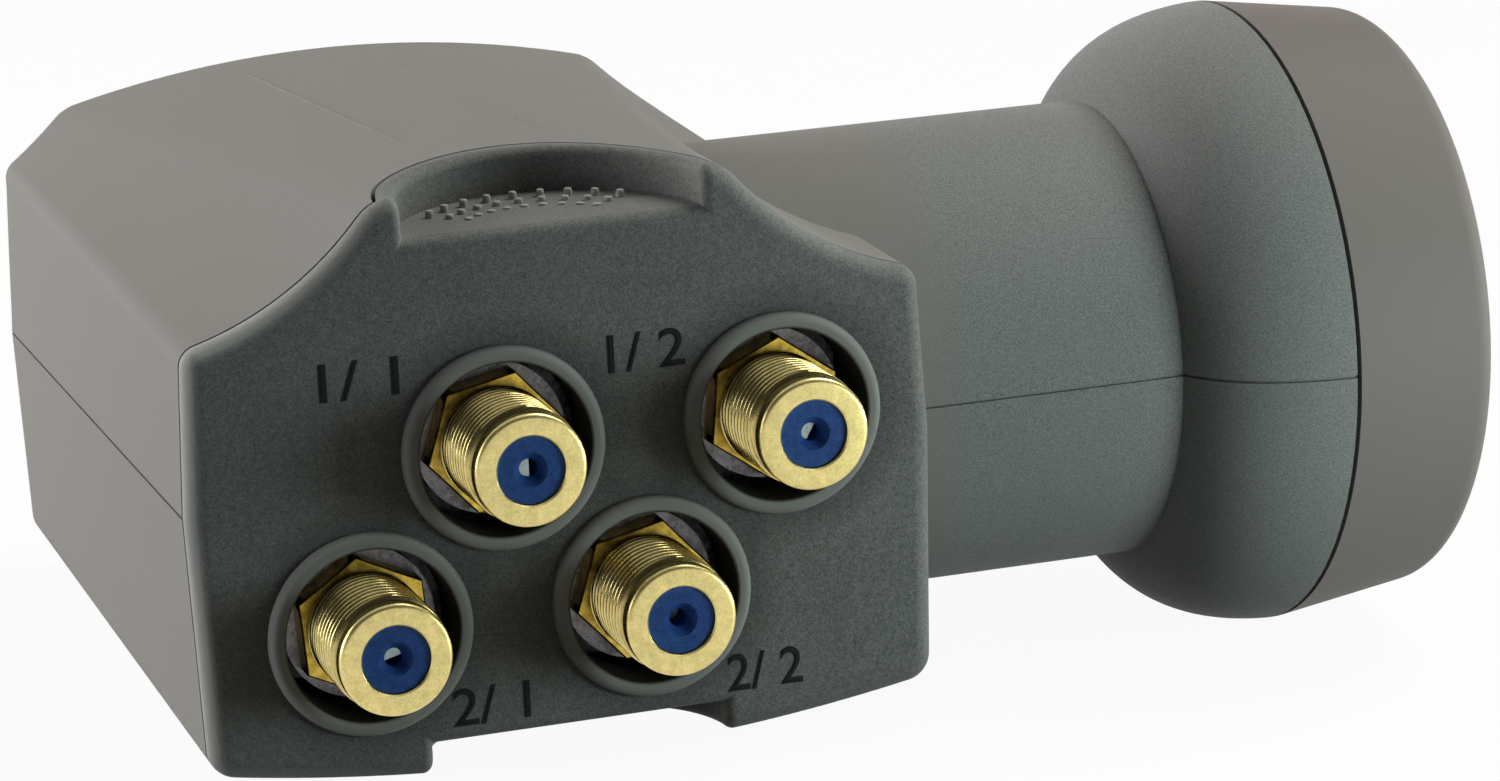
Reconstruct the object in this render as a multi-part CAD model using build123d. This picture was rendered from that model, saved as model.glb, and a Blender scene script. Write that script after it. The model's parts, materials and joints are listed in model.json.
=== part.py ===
from build123d import *
import os

# A four-port satellite LNB in millimetres. The origin is the middle of the clamp neck, on the feed axis.
# +X runs out of the horn, the ports face -Y and +Z is up.

# Clamp neck, bell and cap
neck_d = 40.0
neck_len = 25.2
bell_d = 55.1
bell_len = 12.6
bell_pulls = ((0.15, 0.6), (0.46, 0.95))
bell_lag = 0.6
cap_len = 13.6
cap_front_d = 51.2
cap_dome = 0.8
cap_edge_round = 2.2
cap_wall = 1.8
cap_gap = 0.4

# Box: sections run from the port face back, and each height is taken from the feed axis
box_w = 62.2
box_depth = 75.0
face_to_axis = 26.7
crown_front = 24.6
crown_rear = 23.3
crown_sag_front = 0.8
crown_sag_rear = 3.3
crease_front = 14.5
crease_rear = 25.3
crease_sweep = 1.45
shoulder_front = 13.4
shoulder_rear = 15.2
shoulder_hollow_front = 1.7
shoulder_hollow_rear = 0.1
base_front = 24.0
base_rear = 22.0
base_sag = 2.8
side_draft = 0.6
crease_round = 4.0
shoulder_round = 1.8
base_round = 2.4
rear_round = 2.2
wall = 2.2
seam_width = 0.24
seam_bite = 0.3

# Weather slide: face plate, sleeve, finger recesses and collars
slide_travel = 13.0
slide_clear = 0.4
rim_depth = 1.7
rim_round = 1.6
seam_gap = 0.35
sleeve_len = 27.0
sleeve_wall = 1.6
recess_half = 12.4
recess_reach = 12.9
recess_drop = 3.95
foot_drop = 3.2
recess_floor = 1.6
floor_round = 1.0
lip = 1.5
lip_round = 0.8
collar_d = 16.8
collar_bore = 14.1
collar_h = 0.9
collar_round = 0.75
collar_ease = 0.35
collar_tube = 4.5
lug_w = 5.0
lug_len = 2.4
lug_h = 1.2
lug_x = 20.0
lug_back = 1.0
lug_play = 0.4

# Ports, two staggered rows of two
port_mid = 0.55
port_pitch = 23.4
port_stagger = 11.74
port_upper_z = 3.0
port_lower_z = -10.8
thread_d = 9.525
thread_reach = 7.17
tip_chamfer = 0.35
port_recess = 2.6
hex_across = 10.3
hex_t = 2.2
hex_ease = 0.14
shank_d = 8.0
insulator_d = 5.6
insulator_recess = 0.35
dimple_d = 2.8
dimple_depth = 0.75
contact_d = 1.4
contact_leaf = 0.8
contact_bite = 2.5
tail_d = 0.8
tail_len = 2.0
port_turns = (48.0, 36.0, 26.0, 48.0)
contact_turns = (0.0, -30.0, -75.0, 150.0)
contact_sinks = (0.15, 0.3, 0.35, 2.2)
port_seal_d = 1.0

# Die-cast body
boss_d = 12.6
front_wall_depth = 9.0
front_wall_t = 2.5
front_wall_edge = 0.7
body_gap = 0.8
guide_bore = 17.5
guide_wall = 1.75
guide_reach = 47.0
guide_end_t = 2.0
horn_wall = 1.6
horn_gap = 1.0
horn_throat_back = 8.6
horn_mouth_gap = 2.5
ring_len = 13.0
ring_wall = 3.2
seal_back = 4.0
spigot_len = 4.0
spigot_wall = 1.5
lap_gap = 0.2
cap_seal_d = 1.7
flange_t = 3.0
flange_back = 5.0
rib_t = 1.6
rib_gap = 1.0
fit_gap = 0.05

# Board tray under the waveguide, its lid and its board
tray_half = 20.0
tray_end = 66.0
tray_wall = 1.8
tray_height = 4.6
roof_t = 1.6
roof_drop = 0.5
lead_slot = 3.7
lid_t = 1.4
ear_d = 5.0
ear_out = 1.4
ear_depths = (34.0, 60.0)
screw_d = 2.2
screw_head_d = 4.0
screw_head_h = 0.9
screw_len = 5.0
stand_d = 6.0
stand_half = 13.0
stand_depths = (44.0, 58.0)
stand_top = 6.0
board_t = 1.0
board_gap = 0.5
board_standoff = 1.4
board_boss_d = 4.0
board_screw_d = 1.6
board_screw_head_d = 3.0
board_screw_head_h = 0.7
board_screw_inset = 3.4
chip_w = 5.0
chip_h = 0.9
regulator_w = 3.0
regulator_h = 1.2
crystal_len = 6.0
crystal_w = 3.2
crystal_h = 1.4

# Waveguide probes, measured back from the box side that the neck leaves
probe_d = 1.3
probe_reach = 5.5
probe_side_back = 17.0
probe_step = 11.0
probe_through = 0.8
bushing_d = 4.0
leg_out = 2.2
cross_bar_d = 2.0

# How far a cutting tool runs past the face that it leaves
overrun = 1.0

# Places worked out from the sizes above
neck_r = neck_d / 2
neck_bore_r = neck_r - wall
neck_end = neck_len / 2
bell_r = bell_d / 2
bell_end = neck_end + bell_len
box_x = -(neck_len + box_w) / 2
face_y = -face_to_axis
shell_front = rim_depth + seam_gap
sleeve_inset = wall + slide_clear
body_inset = sleeve_inset + sleeve_wall + body_gap
recess_top = crown_front - recess_drop
recess_base = -(base_front - foot_drop)
guide_r = guide_bore / 2 + guide_wall
roof_z = -guide_r - roof_drop
lid_z = roof_z - tray_height
board_top = roof_z - board_standoff
board_low = board_top - board_t
over = 2.0 * (box_w + box_depth)
hex_depth = port_recess - collar_h
boss_depth = hex_depth + hex_t
wall_back = front_wall_depth + front_wall_t
cap_seat_r = bell_r - wall
cap_spigot_r = cap_seat_r - lap_gap
cap_bore_r = cap_spigot_r - spigot_wall
ring_r = cap_bore_r - lap_gap
cap_seam_x = bell_end + cap_gap
cap_edge_x = cap_seam_x + cap_len
cap_inner_x = cap_edge_x - cap_wall
mouth_x = cap_inner_x - horn_mouth_gap
seal_x = mouth_x - seal_back
port_tip = -collar_h - thread_reach
probe_x = box_w / 2 - probe_side_back
probe_tip = guide_bore / 2 - probe_reach

port_names = ("vertical_low", "horizontal_low", "vertical_high", "horizontal_high")
port_places = [
    (port_mid + row * port_stagger / 2 + side * port_pitch / 2, z)
    for row, z in ((1, port_upper_z), (-1, port_lower_z))
    for side in (-1, 1)
]


def between(a, b, share):
    return a + (b - a) * share


def block(x0, x1, d0, d1, z0, z1):
    """A box given by x from the middle of the box, depth behind the port face, and z."""
    middle = Pos(box_x + (x0 + x1) / 2, face_y + (d0 + d1) / 2, (z0 + z1) / 2)
    return middle * Box(x1 - x0, d1 - d0, z1 - z0)


def rod_y(x, z, d, d0, d1):
    """A round rod along Y between two depths behind the port face."""
    return Pos(box_x + x, face_y + (d0 + d1) / 2, z) * Rot(90, 0, 0) * Cylinder(d / 2, d1 - d0)


def rod_z(x, depth, d, z0, z1):
    """An upright round rod between two heights."""
    return Pos(box_x + x, face_y + depth, (z0 + z1) / 2) * Cylinder(d / 2, z1 - z0)


def spun(*points):
    """A solid of revolution round the feed axis from (x, radius) points."""
    return revolve(Face(Wire.make_polygon([(x, r, 0) for x, r in points])), Axis.X)


def turned_y(x, z, *points):
    """A solid of revolution round a port's axis from (radius, depth) points."""
    profile = Face(Wire.make_polygon([(r, depth, 0) for r, depth in points]))
    return Pos(box_x + x, face_y, z) * revolve(profile, Axis.Y)


# Box outline: eight corners, clockwise from the right crease, with a rise on each bowed edge
def box_corners(depth):
    share = depth / box_depth
    crease = between(crease_front, crease_rear, share**crease_sweep)
    crease_z = between(crown_front - crown_sag_front, crown_rear - crown_sag_rear, share)
    edge_x = box_w / 2 - side_draft
    shoulder_z = between(shoulder_front, shoulder_rear, share)
    base_z = base_sag - between(base_front, base_rear, share)
    right = [(crease, crease_z), (edge_x, shoulder_z), (box_w / 2, 0), (edge_x, base_z)]
    left = [(-x, z) for x, z in reversed(right)]
    return [Vector(x, 0, z) for x, z in right + left]


def box_rises(depth):
    share = depth / box_depth
    shoulder = -between(shoulder_hollow_front, shoulder_hollow_rear, share)
    crown = between(crown_sag_front, crown_sag_rear, share)
    return [shoulder, 0, 0, base_sag, 0, 0, shoulder, crown]


def outward(p, q):
    along = (q - p).normalized()
    return Vector(-along.Z, 0, along.X)


def box_face(depth, inset=0.0, placed=None):
    """The box's section at a depth, moved in by an inset, and laid at that or another depth."""
    raw = box_corners(depth)
    normals = [outward(p, q) for p, q in zip(raw, raw[1:] + raw[:1])]
    corners = []
    for p, n0, n1 in zip(raw, normals[-1:] + normals[:-1], normals):
        corners.append(p - (n0 + n1) * (inset / (1 + n0.dot(n1))))
    shift = Vector(box_x, face_y + (depth if placed is None else placed), 0)
    edges = []
    for p, q, n, rise in zip(corners, corners[1:] + corners[:1], normals, box_rises(depth)):
        start, end = p + shift, q + shift
        middle = (start + end) * 0.5 + n * rise
        edges.append(ThreePointArc(start, middle, end) if rise else Line(start, end))
    return Face(Wire(edges))


def box_loft(inset, near, far):
    """The box as a smooth loft through four sections."""
    steps = 3
    depths = [between(near, far, k / steps) for k in range(steps + 1)]
    return loft([box_face(depth, inset) for depth in depths])


def box_prism(inset, near, far):
    """A straight bar that clears the box's walls over the sleeve's whole run."""
    bars = [extrude(box_face(d, inset, near), far - near, (0, 1, 0)) for d in (0, sleeve_len)]
    return bars[0] & bars[1]


def box_envelope():
    """The outer form of the box with its rounded creases, shoulders, base edges and back."""
    body = box_loft(0, 0, box_depth)
    longest_across = max(box_w, box_depth - rear_round)
    for first, last, radius in ((6, 8, crease_round), (4, 6, shoulder_round), (0, 2, base_round)):
        runs = body.edges().filter_by(lambda e: e.length > longest_across).sort_by(Axis.Z)
        body = fillet(runs[first:last], radius)
    return fillet(body.faces().sort_by(Axis.Y)[-1].edges(), rear_round)


def feed_form(inset):
    """Neck and bell as one turned form, moved in by an inset, with the bell's swept outline."""
    r0, r1 = neck_r - inset, bell_r - inset
    x0, x1 = neck_end + inset * bell_lag, bell_end
    pulls = [(x0 + along * bell_len, between(r0, r1, out)) for along, out in bell_pulls]
    flare = Bezier((x0, r0), *pulls, (x1, r1))
    rest = Polyline((x1, r1), (x1, 0), (box_x, 0), (box_x, r0), (x0, r0))
    return revolve(Face(Wire([flare, *rest.edges()])), Axis.X)


def half_moon(half, reach, z0, z1):
    """A half-moon prism in plan, open to the port face."""
    lead = -over / 4
    rim = [
        Polyline((half, 0), (half, lead), (-half, lead), (-half, 0)),
        ThreePointArc((-half, 0), (0, reach), (half, 0)),
    ]
    plan = Face(Wire([e for part in rim for e in part.edges()]))
    return extrude(Pos(box_x, face_y, z0) * plan, z1 - z0, (0, 0, 1))


envelope = box_envelope()


# Half shells
def recess_cutters(grow):
    """The two half-moons, grown by a wall, that the finger recesses take out of crown and base."""
    half, reach = recess_half + grow, recess_reach + grow
    return half_moon(half, reach, 0, over / 2) + half_moon(half, reach, -over / 2, 0)


def neck_ribs():
    """Two inner rings that trap the horn's flange."""
    flange_x = -neck_end + flange_back
    ribs = Part()
    for x in (flange_x - fit_gap - rib_t, flange_x + flange_t + fit_gap):
        inner, outer = guide_r + rib_gap, neck_bore_r + wall / 2
        ribs += spun((x, inner), (x, outer), (x + rib_t, outer), (x + rib_t, inner))
    return ribs


def shell_posts():
    """Posts that hold the die-cast body between the shells, behind the sleeve."""
    posts = Part()
    for depth in stand_depths:
        for side in (-1, 1):
            posts += rod_z(side * stand_half, depth, stand_d, stand_top, crown_front - wall / 2) & envelope
            posts += rod_z(side * stand_half, depth, stand_d, wall / 2 - base_front, lid_z - lid_t) & envelope
    return posts


def lug_slots():
    """Grooves in the base that the slide's stop lugs run in."""
    near = sleeve_len - lug_back - lug_len - slide_travel - lug_play
    far = sleeve_len - lug_back + lug_play
    slots = Part()
    for side in (-1, 1):
        slots += block(
            side * lug_x - lug_w / 2 - lug_play,
            side * lug_x + lug_w / 2 + lug_play,
            near,
            far,
            lug_floor() - lug_play,
            lug_floor() + lug_h + wall,
        )
    return slots


def lug_floor():
    """The lowest point of a stop lug under the sleeve."""
    share = sleeve_len / box_depth
    base = between(base_front, base_rear, share)
    return -base + base_sag * (lug_x / (box_w / 2)) ** 2 + sleeve_inset - lug_h


def make_shell():
    body = envelope - block(-over, over, -over, shell_front, -over, over)
    body += feed_form(0) & block(0, over, -over, over, -over, over)
    body -= box_loft(wall, 0, box_depth - wall)
    body -= feed_form(wall) & block(box_w / 4, over, -over, over, -over, over)
    seat_x = bell_end - spigot_len - seam_gap
    past_x = bell_end + overrun
    body -= spun((seat_x, 0), (seat_x, cap_seat_r), (past_x, cap_seat_r), (past_x, 0))
    body -= recess_cutters(lip + seam_gap) & block(-over, over, -over, recess_reach * 2, -over, over)
    seam = block(-over, over, -over, over, -seam_width / 2, seam_width / 2)
    body -= seam - box_loft(seam_bite, 0, box_depth - seam_bite) - feed_form(seam_bite)
    return body + neck_ribs() + shell_posts() - lug_slots()


shell = make_shell()
upper_shell = split(shell, Plane.XY, keep=Keep.TOP)
lower_shell = split(shell, Plane.XY, keep=Keep.BOTTOM)


# Weather slide
def lip_edges(form, level, side):
    """A recess wall's edges with the outside of the slide, all but the one along its floor."""
    walls = form.faces().filter_by(GeomType.CYLINDER).filter_by(lambda f: abs(f.normal_at().Z) < fit_gap)
    recess_wall = walls.filter_by(lambda f: side * (f.center().Z - level) > 0).sort_by(Axis.Y)[-1]
    return recess_wall.edges().filter_by(lambda e: side * (e.center().Z - level) > fit_gap)


def make_slide():
    form = envelope & block(-over, over, -over, recess_reach * 2, -over, over)
    form = fillet(form.faces().sort_by(Axis.Y)[0].outer_wire().edges(), rim_round)
    form -= half_moon(recess_half, recess_reach, recess_top, over / 2)
    form -= half_moon(recess_half, recess_reach, -over / 2, recess_base)
    for z in (recess_top, recess_base):
        level = form.edges().filter_by(Axis.X).filter_by_position(Axis.Z, z - fit_gap, z + fit_gap)
        form = fillet(level.sort_by(Axis.Y)[0], floor_round)
    form = fillet(lip_edges(form, recess_top, 1), lip_round)
    form = fillet(lip_edges(form, recess_base, -1), lip_round)
    high = half_moon(recess_half + lip, recess_reach + lip, recess_top - recess_floor, over / 2)
    low = half_moon(recess_half + lip, recess_reach + lip, -over / 2, recess_base + recess_floor)
    plate = block(-over, over, -over, rim_depth, -over, over)
    body = form & (plate + high + low)
    sleeve = box_prism(sleeve_inset, rim_depth / 2, sleeve_len)
    sleeve -= box_prism(sleeve_inset + sleeve_wall, 0, sleeve_len + overrun)
    sleeve -= half_moon(recess_half, recess_reach, recess_top, over / 2)
    body += sleeve - half_moon(recess_half, recess_reach, -over / 2, recess_base)
    slot_half = guide_r + body_gap
    body -= block(box_w / 4, over, face_to_axis - slot_half, over, -slot_half, slot_half)
    for side in (-1, 1):
        body += block(
            side * lug_x - lug_w / 2,
            side * lug_x + lug_w / 2,
            sleeve_len - lug_back - lug_len,
            sleeve_len - lug_back,
            lug_floor(),
            lug_floor() + lug_h + sleeve_wall / 2,
        )
    for x, z in port_places:
        body -= rod_y(x, z, (collar_d + collar_bore) / 2, -over, collar_tube + overrun)
        body += make_collar(x, z)
    return body


def make_collar(x, z):
    """A raised ring round a port hole, with a rounded front and a tube behind it."""
    bore_r, ring_r = collar_bore / 2, collar_d / 2
    outline = (bore_r, -collar_h), (ring_r, -collar_h), (ring_r, collar_tube), (bore_r, collar_tube)
    section = Face(Wire.make_polygon([(r, depth, 0) for r, depth in outline]))
    section = fillet(section.vertices().sort_by(Axis.X)[-2:].sort_by(Axis.Y)[0], collar_round)
    section = fillet(section.vertices().sort_by(Axis.X)[:2].sort_by(Axis.Y)[0], collar_ease)
    return Pos(box_x + x, face_y, z) * revolve(section, Axis.Y)


weather_slide = make_slide()


# Horn cap and its seal
def make_cap():
    dome = Bezier(
        (cap_edge_x, cap_front_d / 2),
        (cap_edge_x + cap_dome, cap_front_d / 4),
        (cap_edge_x + cap_dome, 0),
    )
    rest = Polyline(
        (cap_edge_x + cap_dome, 0),
        (cap_inner_x, 0),
        (cap_inner_x, cap_bore_r),
        (bell_end - spigot_len, cap_bore_r),
        (bell_end - spigot_len, cap_spigot_r),
        (cap_seam_x, cap_spigot_r),
        (cap_seam_x, bell_r),
        (cap_edge_x, cap_front_d / 2),
    )
    cup = revolve(Face(Wire([dome, *rest.edges()])), Axis.X)
    rim = cup.edges().filter_by(GeomType.CIRCLE).sort_by(Axis.X)[-1]
    return fillet(rim, cap_edge_round)


seal_mid_r = cap_bore_r - cap_seal_d / 2 - fit_gap
horn_cap = make_cap()
cap_seal = Pos(seal_x, 0, 0) * Rot(0, 90, 0) * Torus(seal_mid_r, cap_seal_d / 2)


# Die-cast body: horn, waveguide, wall with the port bosses, and board tray
def horn_form():
    cone_r = neck_bore_r - horn_gap
    throat_x = neck_end - horn_throat_back
    form = spun(
        (-guide_reach - guide_end_t, 0),
        (-guide_reach - guide_end_t, guide_r),
        (throat_x, guide_r),
        (neck_end, cone_r),
        (mouth_x - ring_len, ring_r),
        (mouth_x, ring_r),
        (mouth_x, 0),
    )
    flange_x = -neck_end + flange_back
    flange_r = neck_bore_r - fit_gap
    form += spun((flange_x, 0), (flange_x, flange_r), (flange_x + flange_t, flange_r), (flange_x + flange_t, 0))
    groove_r = seal_mid_r - cap_seal_d / 2 - fit_gap
    groove_half = cap_seal_d / 2 + fit_gap
    left, right = seal_x - groove_half, seal_x + groove_half
    return form - spun((left, groove_r), (left, bell_r), (right, bell_r), (right, groove_r))


def horn_bore():
    bore_r = guide_bore / 2
    return spun(
        (-guide_reach, 0),
        (-guide_reach, bore_r),
        (neck_end - horn_throat_back, bore_r),
        (neck_end, neck_bore_r - horn_gap - horn_wall),
        (mouth_x, ring_r - ring_wall),
        (mouth_x + overrun, ring_r - ring_wall),
        (mouth_x + overrun, 0),
    )


def front_wall():
    reach = boss_d / 2 + front_wall_edge
    low, high = port_lower_z - reach, port_upper_z + reach
    wall_plate = box_prism(body_inset, front_wall_depth, wall_back)
    wall_plate &= block(-over, over, -over, over, low, high)
    for x, z in port_places:
        wall_plate += rod_y(x, z, boss_d, boss_depth, wall_back)
    return wall_plate


ear_places = [(side * (tray_half + ear_out), depth) for depth in ear_depths for side in (-1, 1)]
stand_places = [(side * stand_half, depth) for depth in stand_depths for side in (-1, 1)]
board_half = tray_half - tray_wall - board_gap
board_near = wall_back + lead_slot + board_gap
board_far = tray_end - tray_wall - board_gap
board_screw_places = [
    (side * (board_half - board_screw_inset), depth)
    for depth in (board_near + board_screw_inset, board_far - board_screw_inset)
    for side in (-1, 1)
]


def board_tray():
    inner = tray_half - tray_wall
    tray = block(-tray_half, tray_half, wall_back - front_wall_t / 2, tray_end, lid_z, roof_z + roof_t)
    under = lid_z - overrun
    tray -= block(-inner, inner, wall_back, tray_end - tray_wall, under, roof_z)
    tray -= block(-inner, inner, wall_back, wall_back + lead_slot, under, roof_z + roof_t + overrun)
    for x, depth in ear_places:
        tray += rod_z(x, depth, ear_d, lid_z, roof_z + roof_t)
    for x, depth in stand_places:
        tray += rod_z(x, depth, stand_d, roof_z + roof_t / 2, stand_top)
    for x, depth in board_screw_places:
        tray += rod_z(x, depth, board_boss_d, board_top, roof_z + roof_t / 2)
    return tray


def port_ways():
    """Holes for the ports' shanks, with a seat for each seal."""
    seat_d = shank_d + 2 * (port_seal_d + 2 * fit_gap)
    ways = Part()
    for x, z in port_places:
        ways += rod_y(x, z, shank_d + 2 * fit_gap, -over, wall_back + tail_len)
        ways += rod_y(x, z, seat_d, -over, boss_depth + port_seal_d + 2 * fit_gap)
    return ways


leg_y = guide_r + leg_out
leg_depth = face_to_axis + leg_y


def probe_ways():
    """Holes for the probes, their bushings, the side probe's leg, the cross bar and the screws."""
    snug = 2 * fit_gap
    ways = rod_z(probe_x - probe_step, face_to_axis, bushing_d + snug, lid_z, 0)
    ways += rod_y(probe_x, 0, bushing_d + snug, face_to_axis, leg_depth)
    ways += rod_z(probe_x, leg_depth, bushing_d, lid_z, 0)
    ways += rod_y(probe_x - probe_step / 2, 0, cross_bar_d + snug, 0, box_depth)
    for x, depth in ear_places:
        ways += rod_z(x, depth, screw_d + snug, lid_z - overrun, lid_z - lid_t + screw_len + fit_gap)
    for x, depth in board_screw_places:
        ways += rod_z(x, depth, board_screw_d + snug, board_top - overrun, roof_z + roof_t / 2)
    return ways


cast_body = horn_form() + front_wall() + board_tray() - horn_bore() - probe_ways() - port_ways()


# Tray lid, board, screws and the board's parts
def make_lid():
    lid = block(-tray_half, tray_half, wall_back, tray_end, lid_z - lid_t, lid_z)
    for x, depth in ear_places:
        lid += rod_z(x, depth, ear_d, lid_z - lid_t, lid_z)
    for x, depth in ear_places:
        lid -= rod_z(x, depth, screw_d + 2 * fit_gap, lid_z - lid_t - overrun, lid_z + overrun)
    return lid


def make_board():
    board = block(-board_half, board_half, board_near, board_far, board_low, board_top)
    low, high = board_low - overrun, board_top + overrun
    for x, depth in board_screw_places:
        board -= rod_z(x, depth, board_screw_d + 2 * fit_gap, low, high)
    for x, depth in ((probe_x, leg_depth), (probe_x - probe_step, face_to_axis)):
        board -= rod_z(x, depth, probe_d + 2 * fit_gap, low, high)
    return board


def screw_up(x, depth, d, head_d, head_h, under, length):
    """A pan-head screw driven upwards, with its head's seat at a height."""
    return rod_z(x, depth, d, under, under + length) + rod_z(x, depth, head_d, under - head_h, under)


tray_lid = make_lid()
main_board = make_board()
lid_screws = Compound(
    [screw_up(x, d, screw_d, screw_head_d, screw_head_h, lid_z - lid_t, screw_len) for x, d in ear_places]
)
board_screw_len = board_t + board_standoff + roof_t / 2 - fit_gap
board_screws = Compound(
    [
        screw_up(x, d, board_screw_d, board_screw_head_d, board_screw_head_h, board_low, board_screw_len)
        for x, d in board_screw_places
    ]
)


def on_board(x, depth, size_x, size_y, height):
    """A block soldered to the board's lower face."""
    half_x, half_y = size_x / 2, size_y / 2
    return block(x - half_x, x + half_x, depth - half_y, depth + half_y, board_low - height, board_low)


board_mid = (board_near + board_far) / 2
chip_x = board_half / 3
chips = Compound([on_board(side * chip_x, board_mid, chip_w, chip_w, chip_h) for side in (-1, 1)])
crystal_can = on_board(0, board_mid, crystal_w, crystal_len, crystal_h)
regulator_depth = board_far - board_screw_inset
regulators = Compound(
    [on_board(side * chip_x, regulator_depth, regulator_w, regulator_w, regulator_h) for side in (-1, 1)]
)


# Waveguide probes, bushings and cross bar
def make_side_probe():
    """An L-shaped probe: in through the guide's side, then down to the board."""
    x = box_x + probe_x
    path = FilletPolyline(
        (x, probe_tip, 0),
        (x, leg_y, 0),
        (x, leg_y, board_low - probe_through),
        radius=probe_d,
    )
    return sweep(Plane(origin=path @ 0, z_dir=path % 0) * Circle(probe_d / 2), path=path)


def make_bushings():
    hole = probe_d + 2 * fit_gap
    near = guide_bore / 2 + fit_gap
    upright_x = probe_x - probe_step
    upright = rod_z(upright_x, face_to_axis, bushing_d, roof_z, -near)
    upright -= rod_z(upright_x, face_to_axis, hole, roof_z - overrun, 0)
    side = rod_y(probe_x, 0, bushing_d, face_to_axis + near, face_to_axis + guide_r)
    side -= rod_y(probe_x, 0, hole, face_to_axis, leg_depth)
    return Compound([upright, side])


horizontal_probe = make_side_probe()
vertical_probe = rod_z(probe_x - probe_step, face_to_axis, probe_d, board_low - probe_through, -probe_tip)
probe_bushings = make_bushings()
cross_bar = rod_y(
    probe_x - probe_step / 2, 0, cross_bar_d, face_to_axis - guide_r, face_to_axis + guide_r
)


# F ports: body with hexagon and plain barrel, insulator, centre contact and seal
def make_port_body(x, z, turn):
    thread_r, bore_r, shank_r = thread_d / 2, insulator_d / 2, shank_d / 2
    body = turned_y(
        x,
        z,
        (bore_r, port_tip),
        (thread_r - tip_chamfer, port_tip),
        (thread_r, port_tip + tip_chamfer),
        (thread_r, boss_depth),
        (shank_r, boss_depth),
        (shank_r, wall_back),
        (bore_r, wall_back),
    )
    nut = extrude(RegularPolygon(hex_across / 2, 6, major_radius=False), hex_t)
    nut = chamfer(nut.faces().sort_by(Axis.Z)[0].edges(), hex_ease)
    nut -= Cylinder(bore_r + fit_gap, over)
    return body + Pos(box_x + x, face_y + hex_depth, z) * Rot(-90, 0, 0) * Rot(0, 0, turn) * nut


def make_insulator(x, z):
    face = port_tip + insulator_recess
    rim_r, hole_r = insulator_d / 2 - fit_gap, contact_d / 2 + fit_gap
    return turned_y(
        x,
        z,
        (dimple_d / 2, face),
        (rim_r, face),
        (rim_r, wall_back),
        (hole_r, wall_back),
        (hole_r, face + dimple_depth),
    )


def make_contact(x, z, turn, sunk):
    """A spring contact: a round pin whose front is cut back on one side to leave a leaf."""
    front = insulator_recess + dimple_depth + sunk
    length = wall_back - port_tip - front
    pin = Pos(0, 0, -length / 2) * Cylinder(contact_d / 2, length)
    leaf_edge = contact_leaf - contact_d / 2
    pin -= Pos(leaf_edge + over / 2, 0, 0) * Box(over, over, 2 * contact_bite)
    spring = Pos(box_x + x, face_y + port_tip + front, z) * Rot(90, 0, 0) * Rot(0, 0, turn) * pin
    return spring + rod_y(x, z, tail_d, wall_back - overrun, wall_back + tail_len)


def make_port_seal(x, z):
    seal_r = port_seal_d / 2
    ring = Rot(90, 0, 0) * Torus(shank_d / 2 + seal_r + fit_gap, seal_r)
    return Pos(box_x + x, face_y + boss_depth + seal_r + fit_gap, z) * ring


port_seals = Compound([make_port_seal(x, z) for x, z in port_places])

parts = {
    "upper_shell": upper_shell,
    "lower_shell": lower_shell,
    "weather_slide": weather_slide,
    "horn_cap": horn_cap,
    "cap_seal": cap_seal,
    "cast_body": cast_body,
    "tray_lid": tray_lid,
    "lid_screws": lid_screws,
    "main_board": main_board,
    "board_screws": board_screws,
    "mixer_chips": chips,
    "crystal_can": crystal_can,
    "regulators": regulators,
    "vertical_probe": vertical_probe,
    "horizontal_probe": horizontal_probe,
    "probe_bushings": probe_bushings,
    "cross_bar": cross_bar,
    "port_seals": port_seals,
}
ports = zip(port_names, port_places, port_turns, contact_turns, contact_sinks)
for name, (x, z), turn, leaf_turn, sunk in ports:
    parts[f"port_{name}"] = make_port_body(x, z, turn)
    parts[f"insulator_{name}"] = make_insulator(x, z)
    parts[f"contact_{name}"] = make_contact(x, z, leaf_turn, sunk)

os.makedirs("parts", exist_ok=True)
for name, piece in parts.items():
    export_step(piece, f"parts/{name}.step")
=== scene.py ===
import json
import math

import bpy
import numpy as np
from mathutils import Matrix, Vector


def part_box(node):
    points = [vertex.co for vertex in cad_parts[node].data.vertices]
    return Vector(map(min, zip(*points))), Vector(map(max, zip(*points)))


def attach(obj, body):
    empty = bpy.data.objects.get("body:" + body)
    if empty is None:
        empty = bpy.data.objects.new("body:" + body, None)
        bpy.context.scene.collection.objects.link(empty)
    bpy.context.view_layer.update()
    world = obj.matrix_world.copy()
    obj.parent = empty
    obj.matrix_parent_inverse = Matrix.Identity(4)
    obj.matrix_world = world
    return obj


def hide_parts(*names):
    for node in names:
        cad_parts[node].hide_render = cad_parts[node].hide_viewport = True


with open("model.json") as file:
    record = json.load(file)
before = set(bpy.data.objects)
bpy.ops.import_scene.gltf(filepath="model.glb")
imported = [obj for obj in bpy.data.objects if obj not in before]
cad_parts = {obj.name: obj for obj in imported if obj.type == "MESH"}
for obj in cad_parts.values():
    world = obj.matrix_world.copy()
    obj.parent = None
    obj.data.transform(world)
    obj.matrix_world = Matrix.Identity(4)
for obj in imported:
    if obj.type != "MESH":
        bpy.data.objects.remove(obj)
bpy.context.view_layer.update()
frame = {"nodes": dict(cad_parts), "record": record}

# Lengths are in millimetres in the CAD frame: +X out of the horn, the ports face -Y, +Z is up
MM = 0.001

# Camera, as fitted to the photograph
PHOTO_WIDTH = 1500
FOCAL_PIXELS = 5035.1
SENSOR_WIDTH = 36.0
CAMERA_AIM = (-28.17, -26.7, 5.14)
CAMERA_DISTANCE = 405.6
CAMERA_TURN = 18.21
CAMERA_RISE = 14.08
CAMERA_ROLL = 2.57
CAMERA_CLIP = (10.0, 100000.0)

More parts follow.
